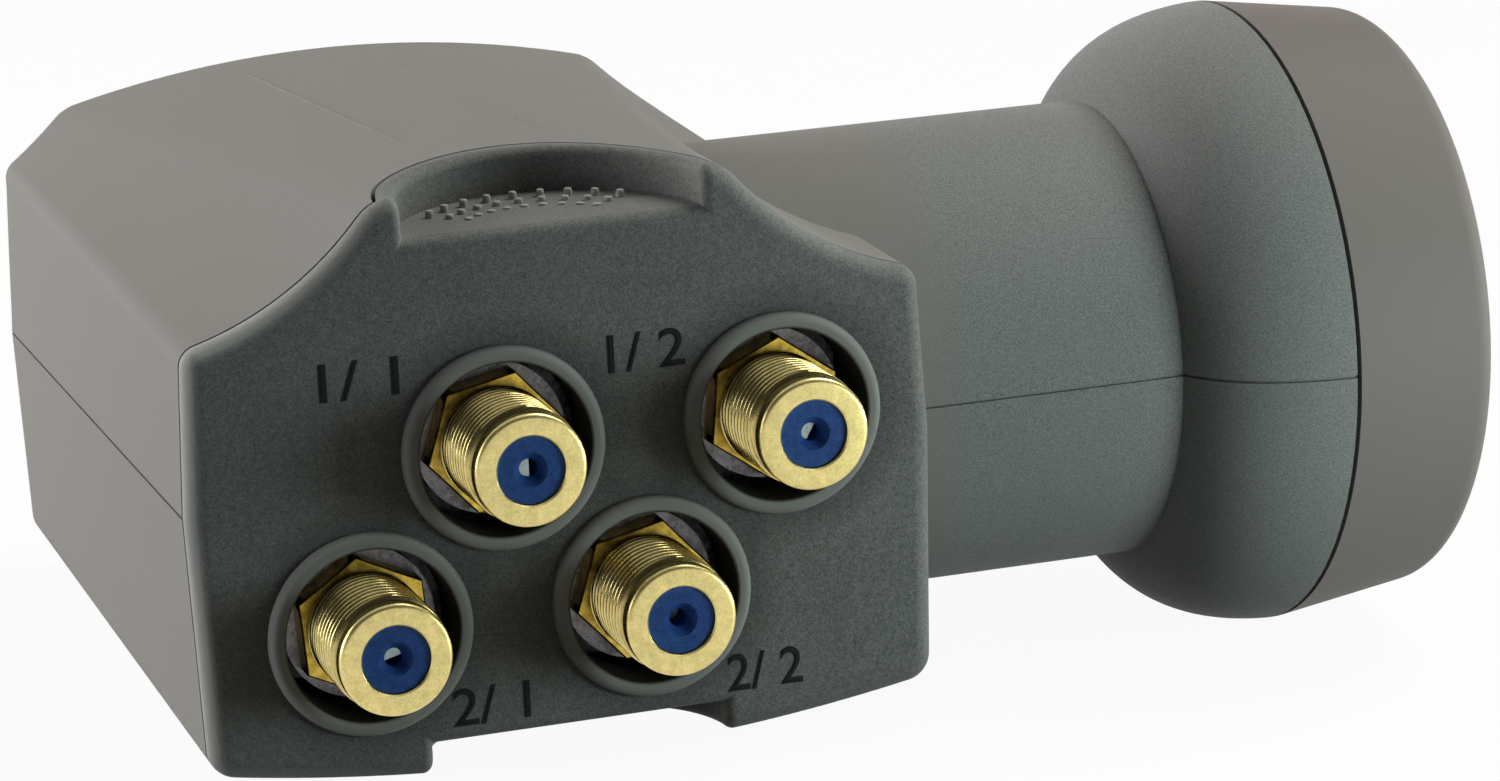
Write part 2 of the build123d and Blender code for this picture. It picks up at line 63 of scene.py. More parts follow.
# Floor: the plane that the cap's lower rim and the base rest on
FLOOR_HALF = 6000.0
FLOOR_TILT = 2.86
FLOOR_SEEN = 0.96
FLOOR_GLOW = 0.94
FLOOR_BOUNCE = 0.12

# World: what the camera and metal see, and the faint even light that falls on the object.
# A pair holds the coordinates of a direction between which a part of the studio begins or ends.
BACKDROP_GREY = 1.0
BACKDROP_AWAY = (-0.15, 0.35)
BACKDROP_TOP = (0.35, 0.7)
ROOM_GREY = 0.045
WING_RISE = 0.4
WING_SIDE = (-0.1, -0.5)
SKIRTING_TOP = (0.0, 0.12)
CEILING_GREY = 0.6
CEILING_RISE = (0.72, 0.9)
AMBIENT = 0.01

# Soft boxes: place, point aimed at, size, watts and colour
SOFT_BOXES = {
    "left_box": ((-420, 350, 150), (-45, 10, 0), 360, 1.85, (1.0, 0.975, 0.975)),
    "low_left_box": ((-560, 40, 60), (-45, 10, 0), 360, 1.50, (1.0, 1.0, 1.0)),
    "top_box": ((330, 60, 480), (-20, 10, 0), 360, 2.55, (1.0, 0.985, 0.94)),
    "near_box": ((85, -120, 0), (0, -20, -5), 60, 0.092, (0.84, 1.0, 0.98)),
    "end_box": ((300, -45, -10), (40, -10, 0), 60, 0.22, (1.0, 0.95, 0.90)),
}

# The box: its port face, its middle and its depth
FACE_Y = -26.7
BOX_MID_X = -43.7
BOX_DEPTH = 75.0

# Ports: bore, tip, relief groove, thread and hexagon. Distances run back from the tip, but HEX_DEPTH is
# behind the face. THREAD_RUN_IN is a share of the pitch, and HEX_TURNS are in degrees.
THREAD_PITCH = 25.4 / 32
THREAD_CREST_R = 4.76
THREAD_DEPTH = 0.44
THREAD_RUN_IN = 0.4
THREAD_ROWS_PER_TURN = 14
PORT_COLUMNS = 180
PORT_SHARP = 42.0
BORE_R = 2.8
BORE_EASE = 0.12
TIP_FACE_R = 4.18
TIP_ROUND = 0.42
TIP_ROWS = 7
TIP_BAND = 1.15
TIP_BAND_R = 4.6
RELIEF_R = 4.15
RELIEF_LEN = 0.45
RELIEF_SLOPE = 0.2
HEX_ACROSS = 10.3
HEX_EASE = 0.14
HEX_DEPTH = 1.7
HEX_LEN = 2.2
SHANK_R = 4.0
HEX_TURNS = {"vertical_low": 12.0, "horizontal_low": 24.0, "vertical_high": 34.0, "horizontal_high": 12.0}

# Port marks: plain row and place numbers that stand thinly on the face, as a black edge layer, which is a
# painted shadow round the strokes, and a darker top layer.
# A layer has its thickness and the swell of its strokes.
MARKS = {
    "vertical_low": ("1/ 1", (-60.4, 9.97)),
    "horizontal_low": ("1/ 2", (-36.75, 9.53)),
    "vertical_high": ("2/ 1", (-51.18, -17.98)),
    "horizontal_high": ("2/ 2", (-27.95, -18.32)),
}
MARK_HEIGHT = 3.1
MARK_WIDTH = 6.4
MARK_SHADOW_LAYER = (0.03, 0.01)
MARK_TOP = (0.10, -0.03)

# Grip pegs on the upper recess's floor, in arcs round the recess's own centre
RECESS_MID = (-44.05, -26.21)
RECESS_FLOOR = 20.65
PEG_ARCS = (10.4, 8.65, 6.95)
PEG_SWING = 50.0
PEG_COUNT = 9
PEG_R = 0.35
PEG_HEIGHTS = (0.62, 0.38, 0.18)
PEG_FULLNESS = (0.3, 0.5)
PEG_TOP = 0.97
PEG_ROWS = 9
PEG_COLUMNS = 14

# Two fine raised lines along the crown, and the crown's section under them at the face and at the back
CROWN_TOP = (24.6, 23.3)
CROWN_SAG = (0.8, 3.3)
CREASE = (14.5, 25.3)
CREASE_SWEEP = 1.45
LINE_ENDS = (((-6.47, 21.0), (-9.4, 66.0)), ((5.17, 20.4), (2.49, 62.8)))
LINE_WIDTH = 0.4
LINE_HEIGHT = 0.13
LINE_SUNK = 0.06
LINE_FADE = 1 / 12
LINE_ROWS = 60
LINE_COLUMNS = 9
TRIM_SHARP = 60.0

# Plastics, as linear colours, and the tones laid over them, among them painted highlights and painted shadow
# on the port face. A shade is a multiple of the plastic's colour.
# A tone fades in from the first to the second edge: along X, in depth behind the face, or round a port.
SHELL_GREY = (0.288, 0.279, 0.258)
SLIDE_GREY = (0.215, 0.224, 0.212)
CAP_GREY = (0.226, 0.203, 0.188)
NECK_GREY = (0.277, 0.289, 0.277)
NECK_SPECK = 0.26
NECK_X = (-10.0, -6.0)
# Painted highlight on the collars' fronts, paler by this multiple from just in front of the face
COLLAR_HIGHLIGHT = 1.4
COLLAR_HIGHLIGHT_DEPTH = (-0.1, -0.7)
# Painted highlight where the slide's face rounds off to its left side, paler by this multiple
RIM_HIGHLIGHT = 2.1
RIM_HIGHLIGHT_X = (-54.0, -68.0)
RIM_HIGHLIGHT_DEPTH = (2.6, 1.7)
RIM_HIGHLIGHT_FACING = (-0.99, -0.8)
# Painted shadow inside the port holes: the plastic darkened to this multiple within the radii
PAINTED_SHADOW_TONE = 0.05
BORE_SHADOW_RADII = (7.35, 7.1)
# Painted shadow round each collar's foot: a share of the same dark tone, fading out between the radii
FOOT_SHADOW_SHARE = 0.45
FOOT_SHADOW_RADII = (11.5, 8.3)
# Painted highlight: the grip pegs in a paler copy of the slide's plastic
PEG_HIGHLIGHT = 2.1
MARK_SHADE = 0.18
# Black of the marks' edge layer, a painted shadow round the strokes
MARK_SHADOW_BLACK = (0.008, 0.010, 0.009)

# Port metals and insulators, as linear colours
GOLD = (0.85, 0.71, 0.29)
GOLD_WORN = 0.68
GOLD_DEEP = (0.20, 0.115, 0.02)
GOLD_DEEP_SHARE = 0.85
GOLD_ROUGH = 0.2
TIP_DULL = 0.18
NUT_DULL = 0.14
ROOT_DULL = 0.1
LATHE_SCALE = (3.0, 260.0, 1.0)
NUT_GOLD = (0.72, 0.52, 0.10)
NUT_DARK = (0.40, 0.27, 0.04)
BLUE = (0.044, 0.150, 0.500)
BLUE_DARK = (0.018, 0.062, 0.250)
CONTACT_GREY = (0.36, 0.43, 0.42)

# Inner works, as linear colours
CAST_PALE = (0.52, 0.51, 0.53)
CAST_DARK = (0.20, 0.19, 0.19)
CAST_PIT = (0.06, 0.055, 0.05)
SCREW_STEEL = (0.62, 0.62, 0.64)
CAN_STEEL = (0.72, 0.72, 0.72)
BUSHING_WHITE = (0.82, 0.82, 0.80)
SEAL_BLACK = (0.018, 0.018, 0.018)
CHIP_BLACK = (0.016, 0.016, 0.017)
BOARD_GREEN = (0.02, 0.12, 0.05)
TRACK_GREEN = (0.04, 0.20, 0.08)


class Signal:
    """A shader socket. Arithmetic on it adds Math nodes to its finish."""

    def __init__(self, finish, socket):
        self.finish = finish
        self.socket = socket

    def combine(self, operation, first, second):
        return self.finish.node("Math", {"operation": operation}, {0: first, 1: second})

    def __add__(self, other):
        return self.combine("ADD", self, other)

    def __sub__(self, other):
        return self.combine("SUBTRACT", self, other)

    def __rsub__(self, other):
        return self.combine("SUBTRACT", other, self)

    def __mul__(self, other):
        return self.combine("MULTIPLY", self, other)

    __radd__ = __add__
    __rmul__ = __mul__


def total(signals):
    """The sum of signals."""
    first, *rest = signals
    return sum(rest, first)


def weighed(signals, weights):
    """The sum of signals, each times its weight."""
    return total(signal * weight for signal, weight in zip(signals, weights))


class Finish:
    """A node tree for a material or the world. Every node comes from node()."""

    def __init__(self, owner):
        owner.use_nodes = True
        self.owner = owner
        self.tree = owner.node_tree
        self.tree.nodes.clear()

    def node(self, kind, settings=None, values=None, output=0):
        """Adds a node, with its settings and then its sockets' values or links, and gives one output."""
        made = self.tree.nodes.new("ShaderNode" + kind)
        for key, value in (settings or {}).items():
            setattr(made, key, value)
        for key, value in (values or {}).items():
            if isinstance(value, Signal):
                self.tree.links.new(value.socket, made.inputs[key])
            else:
                made.inputs[key].default_value = value
        return Signal(self, made.outputs[output]) if made.outputs else None

    def place(self):
        return self.node("TexCoord", output="Object")

    def axis(self, vector, letter):
        """One coordinate of a vector."""
        return self.node("SeparateXYZ", None, {"Vector": vector}, output=letter)

    def carried(self, label):
        """A number that the mesh carries at each of its points."""
        return self.node("Attribute", {"attribute_name": label}, output="Fac")

    def noise(self, place, size, detail=2.0, rough=0.5):
        """Noise with features of about a size in millimetres."""
        values = {"Vector": place, "Scale": 1 / (size * MM), "Detail": detail, "Roughness": rough}
        return self.node("TexNoise", None, values)

    def stretch(self, value, low, high):
        """A value mapped so that low gives 0 and high gives 1, clamped."""
        return self.node("MapRange", {"clamp": True}, {"Value": value, "From Min": low, "From Max": high})

    def clamp(self, value):
        return self.stretch(value, low=0.0, high=1.0)

    def fade(self, length, edges, start=0.0):
        """A length mapped so that the first edge gives 0 and the second 1, in millimetres from a start."""
        low, high = ((start + edge) * MM for edge in edges)
        return self.stretch(length, low, high)

    def sway(self, noise, middle, swing):
        """A value about a middle, moved up and down over a swing by a noise."""
        return middle + (noise - 0.5) * swing

    def blend(self, factor, first, second):
        """From a first colour at 0 to a second at 1. A Mix node's colours are inputs 6 and 7 and output 2."""
        colours = {0: factor, 6: rgba(first), 7: rgba(second)}
        return self.node("Mix", {"data_type": "RGBA"}, colours, output=2)

    def mottle(self, factor, colour, contrast):
        """A colour that a factor takes from a deep tone to a pale one."""
        return self.blend(factor, shade(colour, 1 - contrast), shade(colour, 1 + contrast))

    def bump(self, height, depth):
        """A normal from a height between 0 and 1 and its depth in millimetres."""
        return self.node("Bump", None, {"Height": height, "Distance": depth * MM, "Strength": 1.0})

    def surface(self, **values):
        """Ends the material with a principled shader; a socket's name has _ for each space."""
        named = {key.replace("_", " "): value for key, value in values.items()}
        shader = self.node("BsdfPrincipled", None, named)
        self.node("OutputMaterial", None, {"Surface": shader})
        return self.owner


def rgba(colour):
    """A colour tuple with alpha, or a signal as it is."""
    return colour if isinstance(colour, Signal) else (*colour, 1.0)


def grey(level):
    return (level,) * 3


def shade(colour, amount):
    return tuple(c * amount for c in colour)


def new_finish(name):
    return Finish(bpy.data.materials.new(name))


# Finishes
def moulded_plastic(name, colour, speck, grain=0.03, rough=0.66, sheen=0.15, necked=False, painted_port_light=False):
    """Satin moulded plastic with fine specks and faint clouds.

    A necked one has a cooler and more speckled neck and bell, and one with painted port light has painted
    shadow round the collars' feet and in the holes, and painted highlights on the collars and the left rim.
    """
    finish = new_finish(name)
    place = finish.place()
    fine = finish.noise(place, size=0.12, detail=2.0, rough=0.6)
    coarse = finish.noise(place, size=0.45, detail=1.5)
    cloud = finish.noise(place, size=14.0, detail=3.0)
    tone = weighed((fine, coarse, cloud), weights=(0.7, 0.2, 0.1))
    base = finish.mottle(finish.stretch(tone, low=0.36, high=0.64), colour, speck)
    if necked:
        sand = finish.mottle(finish.stretch(fine, low=0.36, high=0.64), NECK_GREY, NECK_SPECK)
        base = finish.blend(neck_share(finish, place), base, sand)
    if painted_port_light:
        # Painted shadow round the collars' feet and in the holes, and painted highlights on the collars and
        # the left rim
        foot = port_share(finish, place, FOOT_SHADOW_RADII) * FOOT_SHADOW_SHARE
        base = finish.blend(foot, base, shade(colour, PAINTED_SHADOW_TONE))
        base = finish.blend(collar_highlight_share(finish, place), base, shade(colour, COLLAR_HIGHLIGHT))
        base = finish.blend(rim_highlight_share(finish, place), base, shade(colour, RIM_HIGHLIGHT))
        base = finish.blend(port_share(finish, place, BORE_SHADOW_RADII), base, shade(colour, PAINTED_SHADOW_TONE))
    return finish.surface(
        Base_Color=base,
        Roughness=finish.sway(coarse, middle=rough, swing=0.25),
        Specular_IOR_Level=sheen,
        Normal=finish.bump(weighed((fine, coarse), weights=(0.7, 0.3)), depth=grain),
    )


def neck_share(finish, place):
    """1 on the neck and bell, and 0 on the box."""
    return finish.fade(finish.axis(place, "X"), NECK_X)


def collar_highlight_share(finish, place):
    """1 on the collars, which stand in front of the port face and get a painted highlight, and 0 behind it.
    """
    return finish.fade(finish.axis(place, "Y"), COLLAR_HIGHLIGHT_DEPTH, start=FACE_Y)


def rim_highlight_share(finish, place):
    """1 where the slide's face rounds off to its left side and gets a painted highlight, and 0 on the flat.
    """
    facing = finish.node("TexCoord", output="Normal")
    turned = finish.stretch(finish.axis(facing, "Y"), *RIM_HIGHLIGHT_FACING)
    left = finish.fade(finish.axis(place, "X"), RIM_HIGHLIGHT_X)
    front = finish.fade(finish.axis(place, "Y"), RIM_HIGHLIGHT_DEPTH, start=FACE_Y)
    return turned * left * front


def port_share(finish, place, radii):
    """0 past the first radius from every port's axis, rising to 1 at the second."""
    x, z = finish.axis(place, "X"), finish.axis(place, "Z")
    far, near = ((radius * MM) ** 2 for radius in radii)
    discs = []
    for name in MARKS:
        mid_x, mid_z = port_axis(*port_box(name))
        across, up = x - mid_x * MM, z - mid_z * MM
        discs.append(finish.stretch(across * across + up * up, low=far, high=near))
    return finish.clamp(total(discs))


def turned_gold():
    """Gold plate over turned brass: turning marks round the axis, dark roots, a duller tip and hexagon."""
    finish = new_finish("turned_gold")
    place = finish.place()
    turning = finish.node("UVMap", {"uv_map": "turning"})
    marks = finish.node("Mapping", None, {"Vector": turning, "Scale": LATHE_SCALE})
    lathe = finish.node("TexNoise", None, {"Vector": marks, "Scale": 1.0, "Detail": 3.0, "Roughness": 0.6})
    blotch = finish.noise(place, size=0.9, detail=4.0, rough=0.65)
    fleck = finish.noise(place, size=0.16, detail=3.0, rough=0.65)
    root, tip, nut = (finish.carried(label) for label in ("root", "tip", "nut"))
    wear = finish.stretch(weighed((blotch, fleck), weights=(0.5, 0.5)), low=0.36, high=0.64)
    bright = finish.blend(wear, GOLD, shade(GOLD, GOLD_WORN))
    dull = finish.blend(finish.stretch(blotch, low=0.38, high=0.6), NUT_DARK, NUT_GOLD)
    plain = finish.blend(nut, bright, dull)
    rough = weighed((tip, nut, root), weights=(TIP_DULL, NUT_DULL, ROOT_DULL)) + GOLD_ROUGH
    return finish.surface(
        Base_Color=finish.blend(root * GOLD_DEEP_SHARE, plain, GOLD_DEEP),
        Metallic=1.0,
        Roughness=finish.sway(blotch, middle=rough, swing=0.2),
        Normal=finish.bump(weighed((lathe, blotch, fleck), weights=(0.5, 0.3, 0.2)), depth=0.012),
    )


def blue_insulator():
    """Blue moulded insulator with soft flow marks and fine specks."""
    finish = new_finish("blue_insulator")
    place = finish.place()
    flow = finish.noise(place, size=0.7, detail=3.0)
    fine = finish.noise(place, size=0.12, detail=2.0)
    tone = weighed((flow, fine), weights=(0.35, 0.65))
    return finish.surface(
        Base_Color=finish.blend(finish.stretch(tone, low=0.38, high=0.64), BLUE_DARK, BLUE),
        Roughness=finish.sway(fine, middle=0.5, swing=0.2),
        Specular_IOR_Level=0.25,
        Normal=finish.bump(fine, depth=0.008),
    )


def plated_metal(name, colour, size, contrast, rough):
    """Bright plated metal with soft blotches, and a grain of a sixth of their size."""
    finish = new_finish(name)
    place = finish.place()
    blotch = finish.noise(place, size, detail=4.0, rough=0.6)
    fine = finish.noise(place, size / 6, detail=2.0)
    tone = finish.stretch(blotch, low=0.3, high=0.7)
    return finish.surface(
        Base_Color=finish.blend(tone, shade(colour, 1 - contrast), colour),
        Metallic=1.0,
        Roughness=finish.sway(blotch, middle=rough, swing=0.2),
        Normal=finish.bump(fine, depth=0.006),
    )


def die_cast():
    """As-cast metal: a skin in dark and pale patches, with darker pits."""
    finish = new_finish("die_cast")
    place = finish.place()
    patch = finish.noise(place, size=0.8, detail=5.0, rough=0.7)
    pit = finish.noise(place, size=0.22, detail=3.0)
    skin = finish.blend(finish.stretch(patch, low=0.38, high=0.62), CAST_DARK, CAST_PALE)
    return finish.surface(
        Base_Color=finish.blend(finish.stretch(pit, low=0.62, high=0.72), skin, CAST_PIT),
        Metallic=0.75,
        Roughness=finish.sway(patch, middle=0.5, swing=0.4),
        Normal=finish.bump(weighed((pit, patch), weights=(0.5, 0.5)), depth=0.03),
    )


def matt_solid(name, colour, size, contrast, rough):
    """An even matt finish with a fine mottle, for rubber, resin, white bushings and the marks' black edges of
    painted shadow.
    """
    finish = new_finish(name)
    fine = finish.noise(finish.place(), size, detail=3.0)
    return finish.surface(
        Base_Color=finish.mottle(finish.stretch(fine, low=0.3, high=0.7), colour, contrast),
        Roughness=finish.sway(fine, middle=rough, swing=0.15),
        Specular_IOR_Level=0.3,
        Normal=finish.bump(fine, depth=0.01),
    )


def board_laminate():
    """Green solder mask over copper tracks that run along the board."""
    finish = new_finish("board_laminate")
    place = finish.place()
    rows = {"Vector": place, "Scale": 160.0, "Mortar Size": 0.012}
    tracks = finish.node("TexBrick", None, rows, output="Fac")
    fine = finish.noise(place, size=0.3, detail=2.0)
    return finish.surface(
        Base_Color=finish.blend(tracks, BOARD_GREEN, TRACK_GREEN),
        Roughness=finish.sway(fine, middle=0.4, swing=0.1),
        Normal=finish.bump(tracks, depth=0.03),
    )


def finish_nodes():
    """Gives every CAD node the finish of its material slot."""
    finishes = {
        "shell_plastic": moulded_plastic("shell_plastic", SHELL_GREY, speck=0.06, necked=True),
        "slide_plastic": moulded_plastic("slide_plastic", SLIDE_GREY, speck=0.42, grain=0.04, painted_port_light=True),
        "cap_plastic": moulded_plastic("cap_plastic", CAP_GREY, speck=0.03, grain=0.008, rough=0.6),
        "seal_rubber": matt_solid("seal_rubber", SEAL_BLACK, size=0.3, contrast=0.3, rough=0.75),
        "die_cast": die_cast(),
        "screw_steel": plated_metal("screw_steel", SCREW_STEEL, size=0.8, contrast=0.25, rough=0.32),
        "board_laminate": board_laminate(),
        "chip_resin": matt_solid("chip_resin", CHIP_BLACK, size=0.2, contrast=0.3, rough=0.55),
        "can_steel": plated_metal("can_steel", CAN_STEEL, size=1.5, contrast=0.15, rough=0.28),
        "gold_plate": plated_metal("plain_gold", GOLD, size=1.0, contrast=0.2, rough=0.25),
        "bushing_plastic": matt_solid("bushing_plastic", BUSHING_WHITE, size=0.4, contrast=0.03, rough=0.5),
        "insulator_blue": blue_insulator(),
        "contact_metal": plated_metal("contact_metal", CONTACT_GREY, size=0.3, contrast=0.4, rough=0.45),
    }
    for row in frame["record"]["subparts"]:
        node = frame["nodes"][row["node"]]
        node.data.materials.clear()
        node.data.materials.append(finishes[row["material_slot"]])
    return finishes


# Mesh pieces
def add_object(name, data):
    """An object at the origin, linked to the scene."""
    added = bpy.data.objects.new(name, data)
    bpy.context.scene.collection.objects.link(added)
    return added


def dress(name, mesh, material, body):
    """A piece of a mesh and its material, riding on a body."""
    mesh.materials.clear()
    mesh.materials.append(material)
    piece = add_object(name, mesh)
    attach(piece, body)
    return piece


def add_piece(name, points, faces, material, body, sharp):
    """A piece from points in millimetres, smooth but for edges over an angle in degrees."""
    mesh = bpy.data.meshes.new(name)
    mesh.from_pydata(points.reshape(-1, 3) * MM, [], [face.tolist() for face in faces])
    mesh.validate()
    mesh.shade_smooth()
    mesh.set_sharp_from_angle(angle=math.radians(sharp))
    return dress(name, mesh, material, body)


def quads(rows, columns, wrap_rows=False, wrap_columns=False):
    """The faces of a grid of points, closed round either way if asked."""
    down = np.arange(rows if wrap_rows else rows - 1)[:, None]
    across = np.arange(columns if wrap_columns else columns - 1)[None, :]
    below, beside = (down + 1) % rows, (across + 1) % columns
    near, far = down * columns, below * columns
    corners = np.broadcast_arrays(near + across, near + beside, far + beside, far + across)
    return np.stack(corners, -1).reshape(-1, 4)


def thread_ridge(phase):
    """1 on a crest and 0 in a root: a cosine wave by turns."""
    return 0.5 + 0.5 * np.cos(2 * math.pi * phase)


def port_profile(angles, hex_at, end_at, corner):
    """Distance from the tip, radius, root, tip and nut, each by row and angle, from the bore to the shank.

    The tip rounds off as a quarter of an ellipse. At distance d and angle a the thread is
    r = root + (crest - root) ridge(d / pitch + a / 2 pi), and it rises from the relief groove over its
    run-in. The hexagon is r = across / 2 / cos((a - corner) mod 60 deg - 30 deg).
    """
    blank = np.zeros((1, len(angles)))

    def rings(distance, radius, root=0.0, tip=0.0, nut=0.0):
        """The five values over the angles, as one row for numbers or as a row for each number in a column."""
        return np.stack(np.broadcast_arrays(distance, radius, root, tip, nut, blank)[:5])

    swing = np.linspace(0, math.pi / 2, TIP_ROWS)[:, None]
    edge_r = TIP_FACE_R + (TIP_BAND_R - TIP_FACE_R) * np.sin(swing)
    groove = TIP_BAND + RELIEF_SLOPE
    start = groove + RELIEF_LEN
    count = int((hex_at - start) / THREAD_PITCH * THREAD_ROWS_PER_TURN)
    along = np.linspace(start, hex_at, count)[:, None]
    ease = np.minimum(1.0, (along - start) / (THREAD_PITCH * THREAD_RUN_IN))
    ridge = ease * thread_ridge(along / THREAD_PITCH + angles / (2 * math.pi))
    root_r = (THREAD_CREST_R - THREAD_DEPTH) * ease + RELIEF_R * (1 - ease)
    sixth = math.pi / 3
    side_r = HEX_ACROSS / 2 / np.cos(np.mod(angles - math.radians(corner), sixth) - sixth / 2)
    back = hex_at + HEX_LEN
    rows = [
        rings(end_at, BORE_R),
        rings(BORE_EASE, BORE_R, tip=1.0),
        rings(0.0, BORE_R + BORE_EASE, tip=1.0),
        rings(TIP_ROUND * (1 - np.cos(swing)), edge_r, tip=np.cos(swing)),
        rings(TIP_BAND, TIP_BAND_R),
        rings(groove, RELIEF_R, root=1.0),
        rings(along, root_r + (THREAD_CREST_R - root_r) * ridge, root=1 - ridge),
        rings(hex_at, THREAD_CREST_R, nut=1.0),
        rings(hex_at, side_r - HEX_EASE, nut=1.0),
        rings(hex_at + HEX_EASE, side_r, nut=1.0),
        rings(back, side_r, nut=1.0),
        rings(back, SHANK_R, nut=1.0),
        rings(end_at, SHANK_R, nut=1.0),
    ]
    return np.concatenate(rows, axis=1)


def port_box(name):
    """The lowest and highest corners of a CAD port, in millimetres."""
    return [np.array(corner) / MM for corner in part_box(f"port_{name}")]


def port_axis(low, high):
    """X and Z of the axis of a port with these corners."""
    return (low[0] + high[0]) / 2, (low[2] + high[2]) / 2


def add_port(name, material):
    """A threaded port body: its profile's radius over distance and angle, turned round the port's axis."""
    low, high = port_box(name)
    mid_x, mid_z = port_axis(low, high)
    tip_y, end_y = low[1], high[1]
    hex_at = FACE_Y + HEX_DEPTH - tip_y
    angles = np.linspace(0, 2 * math.pi, PORT_COLUMNS, endpoint=False)
    distance, radius, root, tip, nut = port_profile(angles, hex_at, end_y - tip_y, HEX_TURNS[name])
    x, z = mid_x + radius * np.cos(angles), mid_z + radius * np.sin(angles)
    points = np.stack([x, tip_y + distance, z], -1)
    rows, columns = distance.shape
    faces = quads(rows, columns, wrap_rows=True, wrap_columns=True)[:, ::-1]
    piece = add_piece(f"threaded_port_{name}", points, faces, material, "housing", PORT_SHARP)
    for label, values in (("root", root), ("tip", tip), ("nut", nut)):
        layer = piece.data.attributes.new(label, "FLOAT", "POINT")
        layer.data.foreach_set("value", values.ravel().astype(np.float32))
    lay_turning(piece.data, rows, columns)
    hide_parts(f"port_{name}")


def lay_turning(mesh, rows, columns):
    """A UV map with the share of a turn across and the profile's row upwards, cut where the grid closes."""
    corner = np.zeros(len(mesh.loops), np.int32)
    mesh.loops.foreach_get("vertex_index", corner)
    row, column = corner // columns, corner % columns
    face = np.arange(len(corner)) // 4
    face_row, face_column = face // columns, face % columns
    row = np.where((face_row == rows - 1) & (row == 0), rows, row)
    column = np.where((face_column == columns - 1) & (column == 0), columns, column)
    layer = mesh.uv_layers.new(name="turning")
    layer.data.foreach_set("uv", np.stack([column / columns, row / rows], -1).ravel().astype(np.float32))


def add_mark(name, text, centre, proud, swell, material):
    """A layer of a port mark: flat figures taken from their own box to the mark's place on the face.

    Across and up they fill the mark's width and height, but for the swell of their strokes, and they stand
    proud of the face by the layer's thickness.
    """
    curve = bpy.data.curves.new(name, "FONT")
    curve.body = text
    curve.extrude = proud
    curve.offset = swell
    maker = bpy.data.objects.new(name, curve)
    mesh = bpy.data.meshes.new_from_object(maker)
    bpy.data.objects.remove(maker)
    flat = np.zeros(len(mesh.vertices) * 3)
    mesh.vertices.foreach_get("co", flat)
    flat = flat.reshape(-1, 3)
    low, high = flat.min(0), flat.max(0)
    across, up, out = ((flat - (low + high) / 2) / (high - low - 2 * np.array([swell, swell, 0]))).T
    x = centre[0] + across * MARK_WIDTH
    z = centre[1] + up * MARK_HEIGHT
    y = FACE_Y - (out + 0.5) * proud
    mesh.vertices.foreach_set("co", (np.stack([x, y, z], -1) * MM).ravel())
    mesh.update()
    dress(name, mesh, material, "weather_slide")


def add_pegs(material):
    """Round-topped grip pegs in arcs on the recess's floor.

    Each is r = R cos(t)^a at height h sin(t)^b, turned round its axis, with t from 0 to almost a quarter
    turn, where a small flat closes it. The powers a and b are its fullness.
    """
    swing = np.radians(np.linspace(-PEG_SWING, PEG_SWING, PEG_COUNT))
    arc = np.array(PEG_ARCS)[:, None]
    mid_x = (RECESS_MID[0] + arc * np.sin(swing)).reshape(-1, 1, 1)
    mid_y = (RECESS_MID[1] + arc * np.cos(swing)).reshape(-1, 1, 1)
    height = np.repeat(PEG_HEIGHTS, PEG_COUNT).reshape(-1, 1, 1)
    rise = np.linspace(0, math.pi / 2 * PEG_TOP, PEG_ROWS)[:, None]
    turn = np.linspace(0, 2 * math.pi, PEG_COLUMNS, endpoint=False)[None, :]
    radius = PEG_R * np.cos(rise) ** PEG_FULLNESS[0]
    x, y = mid_x + radius * np.cos(turn), mid_y + radius * np.sin(turn)
    z = RECESS_FLOOR + height * np.sin(rise) ** PEG_FULLNESS[1]
    points = np.stack(np.broadcast_arrays(x, y, z), -1)
    size = PEG_ROWS * PEG_COLUMNS
    starts = np.arange(len(mid_x)) * size
    sides = (quads(PEG_ROWS, PEG_COLUMNS, wrap_columns=True) + starts[:, None, None]).reshape(-1, 4)
    tops = starts[:, None] + np.arange(size - PEG_COLUMNS, size)
    bases = starts[:, None] + np.arange(PEG_COLUMNS)[::-1]
    faces = [*sides, *tops, *bases]
    add_piece("grip_pegs", points, faces, material, "weather_slide", TRIM_SHARP)


def crown_height(x, depth):
    """The crown's height at x from the box's middle and a depth: an arc through both creases and the top.

    The top and the sag change evenly from the face to the back, and the creases part by a power of the depth.
    """
    share = depth / BOX_DEPTH
    top = CROWN_TOP[0] + (CROWN_TOP[1] - CROWN_TOP[0]) * share
    sag = CROWN_SAG[0] + (CROWN_SAG[1] - CROWN_SAG[0]) * share
    half = CREASE[0] + (CREASE[1] - CREASE[0]) * share**CREASE_SWEEP
    radius = (half**2 + sag**2) / (2 * sag)
    return top - radius + np.sqrt(radius**2 - x**2)


def add_crown_line(name, start, end, material):
    """A fine raised line: half an ellipse carried from one end to the other over the crown.

    Its height fades in at both ends, and its foot is sunk in the crown.
    """
    along = np.linspace(0, 1, LINE_ROWS)[:, None]
    turn = np.linspace(0, math.pi, LINE_COLUMNS)[None, :]
    fade = np.clip(np.minimum(along, 1 - along) / LINE_FADE, 0, 1)
    x = start[0] + (end[0] - start[0]) * along - LINE_WIDTH / 2 * np.cos(turn)
    depth = start[1] + (end[1] - start[1]) * along
    rise = np.sin(turn) * (LINE_HEIGHT * fade + LINE_SUNK) - LINE_SUNK
    z = crown_height(x, depth) + rise
    points = np.stack(np.broadcast_arrays(BOX_MID_X + x, FACE_Y + depth, z), -1)
    faces = quads(LINE_ROWS, LINE_COLUMNS, wrap_columns=True)
    ends = [np.arange(LINE_COLUMNS)[::-1], (LINE_ROWS - 1) * LINE_COLUMNS + np.arange(LINE_COLUMNS)]
    add_piece(name, points, [*faces, *ends], material, "housing", TRIM_SHARP)


